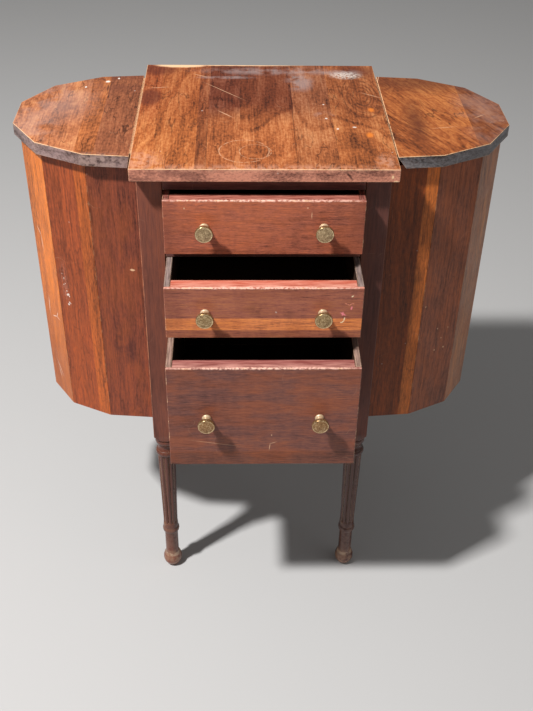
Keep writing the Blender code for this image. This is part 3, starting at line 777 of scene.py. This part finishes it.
def left_stave_2_marks():
    """A trail of white scrapes, each given by X, Z and its size."""
    face = -0.0312
    deep = 0.006
    dots = ((-0.2793, 0.547, 0.0005), (-0.277, 0.54, 0.0007), (-0.2782, 0.529, 0.0006),
            (-0.2758, 0.531, 0.0005), (-0.2748, 0.519, 0.0007), (-0.2731, 0.5135, 0.0015),
            (-0.2745, 0.5125, 0.0011), (-0.2718, 0.5105, 0.0008), (-0.2727, 0.5, 0.0009),
            (-0.2741, 0.4965, 0.0012), (-0.2712, 0.4985, 0.0006))
    rubbed = [spot((-0.2765, face, 0.53), (0.0045, deep, 0.032), 0.8)]
    scrapes = [spot((x, face, z), (size, deep, size * DOT_TALL), 0.5) for x, z, size in dots]
    return ((tone(206, 150, 132), 0.22, 320, rubbed), (WHITE_FLECK, 0.8, 0, scrapes))


def left_stave_3_marks():
    """White scratches, and painted shade over the lower half."""
    angle = STAVE_TURNS[2]
    outward = Vector((-math.sin(angle), -math.cos(angle), 0))
    runs = (((-0.314, 0.015, 0.598), (-0.3085, 0.0065, 0.588), (-0.3075, 0.005, 0.566)),
            ((-0.3103, 0.0092, 0.483), (-0.312, 0.012, 0.454)),
            ((-0.306, 0.0029, 0.453), (-0.2985, -0.0083, 0.459), (-0.294, -0.015, 0.457)),
            ((-0.2985, -0.0083, 0.459), (-0.2962, -0.0117, 0.468)),
            ((-0.311, 0.0102, 0.366), (-0.302, -0.0032, 0.345)),
            ((-0.3085, 0.0065, 0.352), (-0.306, 0.0028, 0.338)))
    # Painted shade over the lower half
    dark = [spot((-0.306, 0.003, 0.31), (0.05, 0.05, 0.16), 0.9)]
    scratches = [stroke for run in runs for stroke in strokes(run, 0.0006, outward)]
    return ((tone(138, 62, 20), 0.6, 0, dark), (WHITE_FLECK, 0.75, 0, scratches))


def right_stave_2_marks():
    """Pale flecks, each given by X, Y, Z and its size."""
    deep = 0.004
    dots = ((0.2329, -0.0519, 0.5052, 0.0008), (0.2567, -0.0401, 0.4587, 0.0007),
            (0.2648, -0.0361, 0.4395, 0.0007), (0.2705, -0.0333, 0.4208, 0.0009),
            (0.2739, -0.0316, 0.4556, 0.0006), (0.2561, -0.0404, 0.4201, 0.0008))
    flecks = [spot((x, y, z), (size, deep, size * DOT_TALL), 0.5) for x, y, z, size in dots]
    return ((BARE_WOOD, 0.8, 0, flecks),)


def dress_staves():
    marks = {"left_stave_1": left_stave_1_marks(), "left_stave_2": left_stave_2_marks(),
             "left_stave_3": left_stave_3_marks(), "right_stave_2": right_stave_2_marks()}
    for side, sign in SIDES:
        first_seed = STAVE_SEED + (RIGHT_SEED_STEP if side == "right" else 0.0)
        for index, angle in enumerate(STAVE_TURNS):
            name = f"{side}_stave_{index + 1}"
            grain = (Vector((math.cos(angle), sign * math.sin(angle), 0)), UP)
            outward = (sign * math.sin(angle), -math.cos(angle), 0)
            seed = first_seed + index * STAVE_SEED_STEP
            tones = shades(STAVE_TONES[side][index])
            dress_wood(name, grain, tones, seed, boards=STAVE_STRIPS.get(name, ()), board_axis=ACROSS,
                       board_soft=0.0007, ring_count=260, slope=0.03, gains=(0.18, 0.28, 0.24, 0.22, 0.18),
                       fine=1.5, veins=0.35, warm=0.25, marks=marks.get(name, ()), scratches=0.12,
                       specks=0.25, wear=0.35, edge=0.0008, arris=outward, worn_share=(0.46, 0.62))


# Case and legs
CASE_TONE = (96, 48, 34)
RAIL_TONE = (122, 80, 74)
# Inside wood: dark old wood, made darker still by painted shade
INSIDE_SHADED_TONE = (62, 42, 32)
# The right legs are darker than the left: painted shade
LEG_TONES = {"left": (121, 67, 52), "right": (98, 55, 45)}
CASE_SEED = 31.0
LEG_SEED = 51.0
SEED_STEP = 1.7
LEG_ROUND = 0.05  # reach of a mark that goes all round a leg
POST_BOTTOM = 0.29
POST_ARRIS = (0.305, 0.729)


def dress_case():
    rails = ("top_rail", "upper_drawer_rail", "lower_drawer_rail", "bottom_rail")
    boards = ("upper_dust_board", "lower_dust_board", "bottom_board")
    groups = ((rails, SIDEWAYS, RAIL_TONE, {"shine": 0.1}),
              (("left_side_panel", "right_side_panel"), UPRIGHT_AT_SIDE, CASE_TONE, {}),
              (("back_panel",), UPRIGHT, CASE_TONE, {}),
              (boards, SIDEWAYS, INSIDE_SHADED_TONE, {"gloss": 0.6}),
              (("left_wing_floor", "right_wing_floor"), FRONT_TO_BACK, INSIDE_SHADED_TONE, {"gloss": 0.6}))
    seed = CASE_SEED
    for names, grain, middle, settings in groups:
        for name in names:
            seed += SEED_STEP
            dress_wood(name, grain, shades(middle), seed, wear=0.4, **settings)


def leg_marks(name):
    """Painted shade on the reeds, a worn ankle and foot, a painted highlight round the top of the bun, and
    one along the left post's outer arris.
    """
    low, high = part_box(name)

    def band(level, reach, soft):
        middle = ((low.x + high.x) / 2, (low.y + high.y) / 2, level)
        return [spot(middle, (LEG_ROUND, LEG_ROUND, reach), soft)]

    # Painted shade over the reeded part, then a worn ankle and a worn foot
    groups = [(tone(44, 19, 13), 0.5, 0, band(0.165, 0.135, 0.2)),
              (tone(128, 95, 80), 0.42, 110, band(0.062, 0.036, 0.3)),
              (tone(150, 114, 90), 0.75, 90, band(0.01, 0.026, 0.2)),
              # A painted highlight round the top of the bun
              (tone(196, 166, 140), 0.6, 160, band(0.0275, 0.0022, 0.6))]
    # A painted highlight along the left post's outer arris
    if name == "leg_front_left":
        start, end = [(low.x, low.y, level) for level in POST_ARRIS]
        groups.append((tone(214, 136, 92), 0.6, 60, [line(start, end, 0.001, FORWARD)]))
    return groups


def dress_legs():
    seed = LEG_SEED
    for end in ("front", "back"):
        for side, _ in SIDES:
            seed += SEED_STEP
            name = f"leg_{end}_{side}"
            dress_wood(name, UPRIGHT, shades(LEG_TONES[side]), seed, ring_count=190,
                       gains=(0.12, 0.2, 0.08, 0.2, 0.15), grime=1.0, marks=leg_marks(name), scratches=0.1,
                       specks=0.15, wear=0.2, edge=0.0012, gloss=0.24, shine=0.42, dull_above=POST_BOTTOM)


# Drawers: tones of the fronts, of their top edges and of those of the sides
DRAWER_TONES = {"top_drawer": (171, 97, 74),
                "middle_drawer": (217, 130, 92),
                "bottom_drawer": (119, 75, 67)}
DRAWER_STRIPS = {"middle_drawer": ((0.5, tone(184, 185, 204)), (0.5461, tone(255, 255, 226)),
                                   (0.5647, tone(186, 186, 214))),
                 "bottom_drawer": ((0.3, tone(248, 240, 222)), (0.369, tone(255, 255, 255)))}
DRAWER_EDGES = {"top_drawer": (tone(110, 48, 40), tone(182, 117, 101)),
                "middle_drawer": (tone(168, 86, 68), tone(220, 158, 138)),
                "bottom_drawer": (tone(122, 70, 64), tone(190, 136, 124))}
# The top drawer's side edges are darker: painted shade under the top
SIDE_EDGES = {"top_drawer": (tone(84, 42, 36), tone(146, 86, 74)),
              "middle_drawer": (tone(95, 80, 75), tone(151, 131, 124)),
              "bottom_drawer": (tone(106, 83, 73), tone(168, 136, 121))}
# A darker strip along the back of the front's top edge: colour, strength and width. On the top drawer,
# whose edge lies under the top, the strip is painted shade.
BACK_EDGES = {"top_drawer": (tone(34, 14, 12), 0.85, 0.0055),
              "middle_drawer": (tone(190, 82, 58), 0.45, 0.011),
              "bottom_drawer": (tone(128, 56, 54), 0.5, 0.01)}
# Pale line along each drawer front's top arris: partly rubbed varnish, partly a painted highlight
RUBBED_EDGE_AND_HIGHLIGHT = tone(240, 192, 172)
RUBBED_WIDTH = 0.0016
EDGE_LONG = 0.2
DRAWER_SEED = 61.0
DRAWER_SEED_STEP = 2.3


class Front:
    """Marks on a drawer front, placed by X and Z."""

    def __init__(self, name):
        self.low, self.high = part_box(f"{name}_front")

    def at(self, x, z):
        return (x, self.low.y, z)

    def scratch(self, width, *points):
        return strokes([self.at(x, z) for x, z in points], width, FORWARD)

    def blot(self, x, z, wide, tall, soft=0.35):
        return spot(self.at(x, z), (wide, SHALLOW, tall), soft)


def top_drawer_marks(front):
    # Painted shade at both ends, and a painted sheen in the middle
    dim = [front.blot(-0.14, 0.67, 0.03, 0.045, 0.9), front.blot(0.135, 0.67, 0.026, 0.04, 0.9)]
    warm = [front.blot(-0.01, 0.672, 0.055, 0.03, 0.9)]
    pale = [*front.scratch(0.0005, (0.0594, 0.693), (0.0594, 0.685)),
            front.blot(0.054, 0.6995, 0.0012, 0.0009), front.blot(-0.0998, 0.6985, 0.0009, 0.0012)]
    return ((tone(116, 62, 50), 0.55, 0, dim),
            (tone(200, 112, 72), 0.3, 60, warm),
            (PALE_SCRATCH, 0.7, 0, pale))


def middle_drawer_marks(front):
    """Dark patches, and dabs of orange, pink and cream paint."""
    dim = [front.blot(-0.008, 0.577, 0.012, 0.009, 0.8), front.blot(0.028, 0.571, 0.01, 0.007, 0.8),
           front.blot(-0.145, 0.585, 0.03, 0.04, 0.9)]
    squiggle = front.scratch(0.0006, (0.1032, 0.5882), (0.1063, 0.5865), (0.1094, 0.5852),
                             (0.112, 0.5877), (0.1151, 0.5872))
    drip = front.scratch(0.0011, (0.1125, 0.5832), (0.1116, 0.5782))
    smear = front.scratch(0.0011, (0.0984, 0.5736), (0.105, 0.5696))
    cross = front.scratch(0.0011, (0.1014, 0.5746), (0.101, 0.5691))
    hook = front.scratch(0.0007, (0.1041, 0.5661), (0.1032, 0.5611), (0.1006, 0.558), (0.0988, 0.5586))
    tail = front.scratch(0.0007, (0.1134, 0.5999), (0.1111, 0.5979))
    return ((tone(96, 52, 44), 0.45, 70, dim),
            (tone(236, 150, 118), 0.75, 0, squiggle),
            (tone(246, 140, 148), 0.85, 0, drip + smear + cross),
            (tone(255, 240, 196), 0.9, 0, hook + tail))


def bottom_drawer_marks(front):
    pale = [*front.scratch(0.0003, (-0.093, 0.389), (-0.035, 0.379)),
            *front.scratch(0.0005, (0.018, 0.386), (0.01, 0.383), (0.009, 0.372)),
            front.blot(0.012, 0.3985, 0.0007, 0.0014)]
    return ((PALE_SCRATCH, 0.7, 0, pale),)


def edge_marks(name, front):
    """The top edge of a drawer front, darker at its back and pale at its front; the dark strip is painted
    shade on the top drawer, and the pale line partly rubbed varnish, partly a painted highlight.
    """
    colour, strength, width = BACK_EDGES[name]
    high = front.high
    # On the top drawer this dark strip is painted shade under the top
    back = [spot((0.0, high.y, high.z), (EDGE_LONG, width, MARK_DEEP))]
    # Pale line along the front arris: partly rubbed varnish, partly a painted highlight
    rubbed = front.scratch(RUBBED_WIDTH, (-high.x, high.z), (high.x, high.z))
    return ((colour, strength, 0, back), (RUBBED_EDGE_AND_HIGHLIGHT, 0.9, 300, rubbed))


DRAWER_MARKS = {"top_drawer": top_drawer_marks,
                "middle_drawer": middle_drawer_marks,
                "bottom_drawer": bottom_drawer_marks}


def dress_drawers():
    seed = DRAWER_SEED
    for name in DRAWERS:
        seed += DRAWER_SEED_STEP
        front = Front(name)
        marks = DRAWER_MARKS[name](front) + edge_marks(name, front)
        dress_wood(f"{name}_front", SIDEWAYS, shades(DRAWER_TONES[name]), seed,
                   boards=DRAWER_STRIPS.get(name, ()), board_soft=0.0004, ring_count=200, slope=0.02,
                   gains=(0.12, 0.36, 0.2, 0.1, 0.18), fine=2.3, ripple=0.1, warm=0.3, pores=0.15,
                   crown=DRAWER_EDGES[name], marks=marks, scratches=0.12, specks=0.35, wear=0.7,
                   edge=0.001, arris=FORWARD, worn_share=(0.5, 0.66))
        for part in ("left_side", "right_side", "back", "bottom"):
            seed += DRAWER_SEED_STEP
            is_side = part.endswith("side")
            grain = LENGTHWISE if is_side else SIDEWAYS
            crown = SIDE_EDGES[name] if is_side else None
            dress_wood(f"{name}_{part}", grain, shades(INSIDE_SHADED_TONE), seed, crown=crown, specks=0.1,
                       wear=0.7, gloss=0.62)


# Hinges
HINGE_TONES = (tone(150, 96, 62), tone(214, 160, 116), tone(250, 214, 170))


def dress_hinges():
    leaf = brass("hinge_brass", HINGE_TONES, roughness=0.5, metallic=0.2, mottle=0.4)
    for side, _ in SIDES:
        for part in ("top_leaf", "lid_leaf", "pin"):
            dress(f"{side}_hinge_{part}", leaf)


# Knobs: ringed stems with a broad, nearly flat face
KNOB_AROUND = 48
KNOB_NECK = 0.56  # share of the length up to the back of the head
KNOB_RIM = 0.912  # and up to the edge of the face
KNOB_DOME = 0.7  # share of the length beyond the rim by which the face swells
KNOB_FACE = 0.885  # share of the radius that the face takes up
KNOB_FACE_STEPS = (KNOB_FACE, 0.75, 0.6, 0.45, 0.3, 0.15, 0.0)
# Outlines of stem and head, as shares of the radius and of the length
KNOB_STEM = ((0.0, 0.0), (0.52, 0.0), (0.55, 0.03), (0.53, 0.09), (0.47, 0.125), (0.49, 0.17), (0.45, 0.24),
             (0.41, 0.35), (0.42, 0.46), (0.50, 0.55))
KNOB_HEAD = ((0.68, 0.61), (0.88, 0.655), (0.97, 0.69), (1.0, 0.74), (1.0, 0.84), (0.985, 0.885),
             (0.95, 0.915), (0.91, 0.925))
# The stems' brass is paler than the faces': a painted highlight
KNOB_STEM_TONES = (tone(110, 84, 56), tone(216, 186, 144), tone(255, 246, 224))
KNOB_RIM_TONES = (tone(74, 52, 30), tone(146, 112, 70), tone(248, 226, 186))
KNOB_FACE_DARK = tone(44, 31, 18)
KNOB_FACE_BRIGHT = tone(240, 216, 172)
# The bottom drawer's knob faces are more orange than the others: a painted reflection of the wood round
# them
KNOB_FACES = {"top_drawer": tone(162, 135, 99),
              "middle_drawer": tone(154, 125, 84),
              "bottom_drawer": tone(148, 106, 64)}


def knob_profile(radius, length):
    """Outline from the drawer front out to the middle of the face, as (radius, height) pairs."""
    swell = (1 - KNOB_RIM) * KNOB_DOME
    face = [(share, KNOB_RIM + swell * (1 - (share / KNOB_FACE) ** 2)) for share in KNOB_FACE_STEPS]
    return [(radius * share, length * height) for share, height in (*KNOB_STEM, *KNOB_HEAD, *face)]


def knob_mesh(name, centre, radius, length):
    shape = bmesh.new()
    loops = []
    for row_radius, height in knob_profile(radius, length):
        angles = [2 * math.pi * step / KNOB_AROUND for step in range(KNOB_AROUND if row_radius else 1)]
        spokes = [Vector((row_radius * math.cos(a), -height, row_radius * math.sin(a))) for a in angles]
        loops.append([shape.verts.new(centre + spoke) for spoke in spokes])
    for near, far in zip(loops, loops[1:]):
        for step in range(KNOB_AROUND):
            after = (step + 1) % KNOB_AROUND
            corners = [near[step % len(near)], near[after % len(near)],
                       far[after % len(far)], far[step % len(far)]]
            shape.faces.new(list(dict.fromkeys(corners)))
    bmesh.ops.recalc_face_normals(shape, faces=shape.faces)
    mesh = bpy.data.meshes.new(name)
    shape.to_mesh(mesh)
    shape.free()
    mesh.shade_smooth()
    return mesh


def add_knobs():
    edging = brass("knob_rim_brass", KNOB_RIM_TONES, roughness=0.26, metallic=0.7, mottle=0.3)
    stem = brass("knob_stem_brass", KNOB_STEM_TONES, roughness=0.34, metallic=0.5, mottle=0.2)
    for drawer in DRAWERS:
        tones = (KNOB_FACE_DARK, KNOB_FACES[drawer], KNOB_FACE_BRIGHT)
        finish = brass(f"{drawer}_knob_brass", tones, roughness=0.36, metallic=0.5, mottle=0.42)
        for side, _ in SIDES:
            node = f"{drawer}_{side}_knob"
            low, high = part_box(node)
            radius = (high.x - low.x) / 2
            length = high.y - low.y
            centre = Vector(((low.x + high.x) / 2, high.y, (low.z + high.z) / 2))
            mesh = knob_mesh(f"{node}_turned", centre, radius, length)
            for material in (finish, edging, stem):
                mesh.materials.append(material)
            for face in mesh.polygons:
                share = (high.y - face.center.y) / length
                face.material_index = int(share < KNOB_RIM) + int(share < KNOB_NECK)
            knob = bpy.data.objects.new(f"{node}_turned", mesh)
            bpy.context.scene.collection.objects.link(knob)
            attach(knob, drawer)
            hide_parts(node)


# Smooth shading of what was turned or rounded
SMOOTH_BELOW = math.radians(40)
WELD_DISTANCE = 0.00001


def smooth_group():
    group = bpy.data.node_groups.new("smooth_turned_faces", "GeometryNodeTree")
    group.interface.new_socket("Geometry", in_out="INPUT", socket_type="NodeSocketGeometry")
    group.interface.new_socket("Geometry", in_out="OUTPUT", socket_type="NodeSocketGeometry")
    start = group.nodes.new("NodeGroupInput")
    weld = group.nodes.new("GeometryNodeMergeByDistance")
    weld.inputs["Distance"].default_value = WELD_DISTANCE
    smooth = group.nodes.new("GeometryNodeSetShadeSmooth")
    angle = group.nodes.new("GeometryNodeInputMeshEdgeAngle")
    sharp = group.nodes.new("FunctionNodeCompare")
    sharp.operation = "GREATER_THAN"
    sharp.inputs[1].default_value = SMOOTH_BELOW
    crease = group.nodes.new("GeometryNodeSetShadeSmooth")
    crease.domain = "EDGE"
    crease.inputs["Shade Smooth"].default_value = False
    end = group.nodes.new("NodeGroupOutput")
    group.links.new(start.outputs[0], weld.inputs["Geometry"])
    group.links.new(weld.outputs[0], smooth.inputs["Geometry"])
    group.links.new(angle.outputs["Unsigned Angle"], sharp.inputs[0])
    group.links.new(smooth.outputs[0], crease.inputs["Geometry"])
    group.links.new(sharp.outputs[0], crease.inputs["Selection"])
    group.links.new(crease.outputs[0], end.inputs[0])
    return group


def smooth_nodes():
    group = smooth_group()
    names = [name for name in NODES if name.startswith("leg_") or "_lid" in name or name == "centre_top"]
    for name in names:
        NODES[name].modifiers.new("smooth", "NODES").node_group = group
        even = NODES[name].modifiers.new("even faces", "WEIGHTED_NORMAL")
        even.keep_sharp = True


def add_camera():
    camera = bpy.data.cameras.new("camera")
    camera.lens = FOCAL_PIXELS / FRAME_HEIGHT * SENSOR
    holder = bpy.data.objects.new("camera", camera)
    turn = (Matrix.Rotation(-CAMERA_YAW, 4, "Z") @ Matrix.Rotation(math.pi / 2 - CAMERA_PITCH, 4, "X")
            @ Matrix.Rotation(CAMERA_ROLL, 4, "Z"))
    holder.matrix_world = Matrix.Translation(CAMERA_PLACE) @ turn
    bpy.context.scene.collection.objects.link(holder)
    bpy.context.scene.camera = holder


def add_floor():
    shape = bmesh.new()
    bmesh.ops.create_grid(shape, x_segments=1, y_segments=1, size=FLOOR_REACH)
    mesh = bpy.data.meshes.new("floor")
    shape.to_mesh(mesh)
    shape.free()
    floor = bpy.data.objects.new("floor", mesh)
    bpy.context.scene.collection.objects.link(floor)
    material = bpy.data.materials.new("floor")
    material.use_nodes = True
    shader = material.node_tree.nodes["Principled BSDF"]
    shader.inputs["Base Color"].default_value = FLOOR_COLOUR
    shader.inputs["Roughness"].default_value = FLOOR_ROUGHNESS
    mesh.materials.append(material)


def add_light(name, place, size, power):
    light = bpy.data.lights.new(name, "AREA")
    light.size = size
    light.energy = power
    holder = bpy.data.objects.new(name, light)
    holder.location = place
    holder.rotation_euler = (LIGHT_TARGET - Vector(place)).to_track_quat("-Z", "Y").to_euler()
    bpy.context.scene.collection.objects.link(holder)


def add_lights():
    add_light("key", KEY_PLACE, KEY_SIZE, KEY_POWER)
    add_light("fill", FILL_PLACE, FILL_SIZE, FILL_POWER)
    world = bpy.data.worlds.new("studio")
    world.use_nodes = True
    background = world.node_tree.nodes["Background"]
    background.inputs["Color"].default_value = WORLD_COLOUR
    background.inputs["Strength"].default_value = WORLD_STRENGTH
    bpy.context.scene.world = world


dress_centre_top()
dress_left_lid()
dress_right_lid()
dress_staves()
dress_case()
dress_legs()
dress_drawers()
dress_hinges()
add_knobs()
smooth_nodes()
add_camera()
add_floor()
add_lights()
bpy.context.scene.view_settings.view_transform = "Standard"
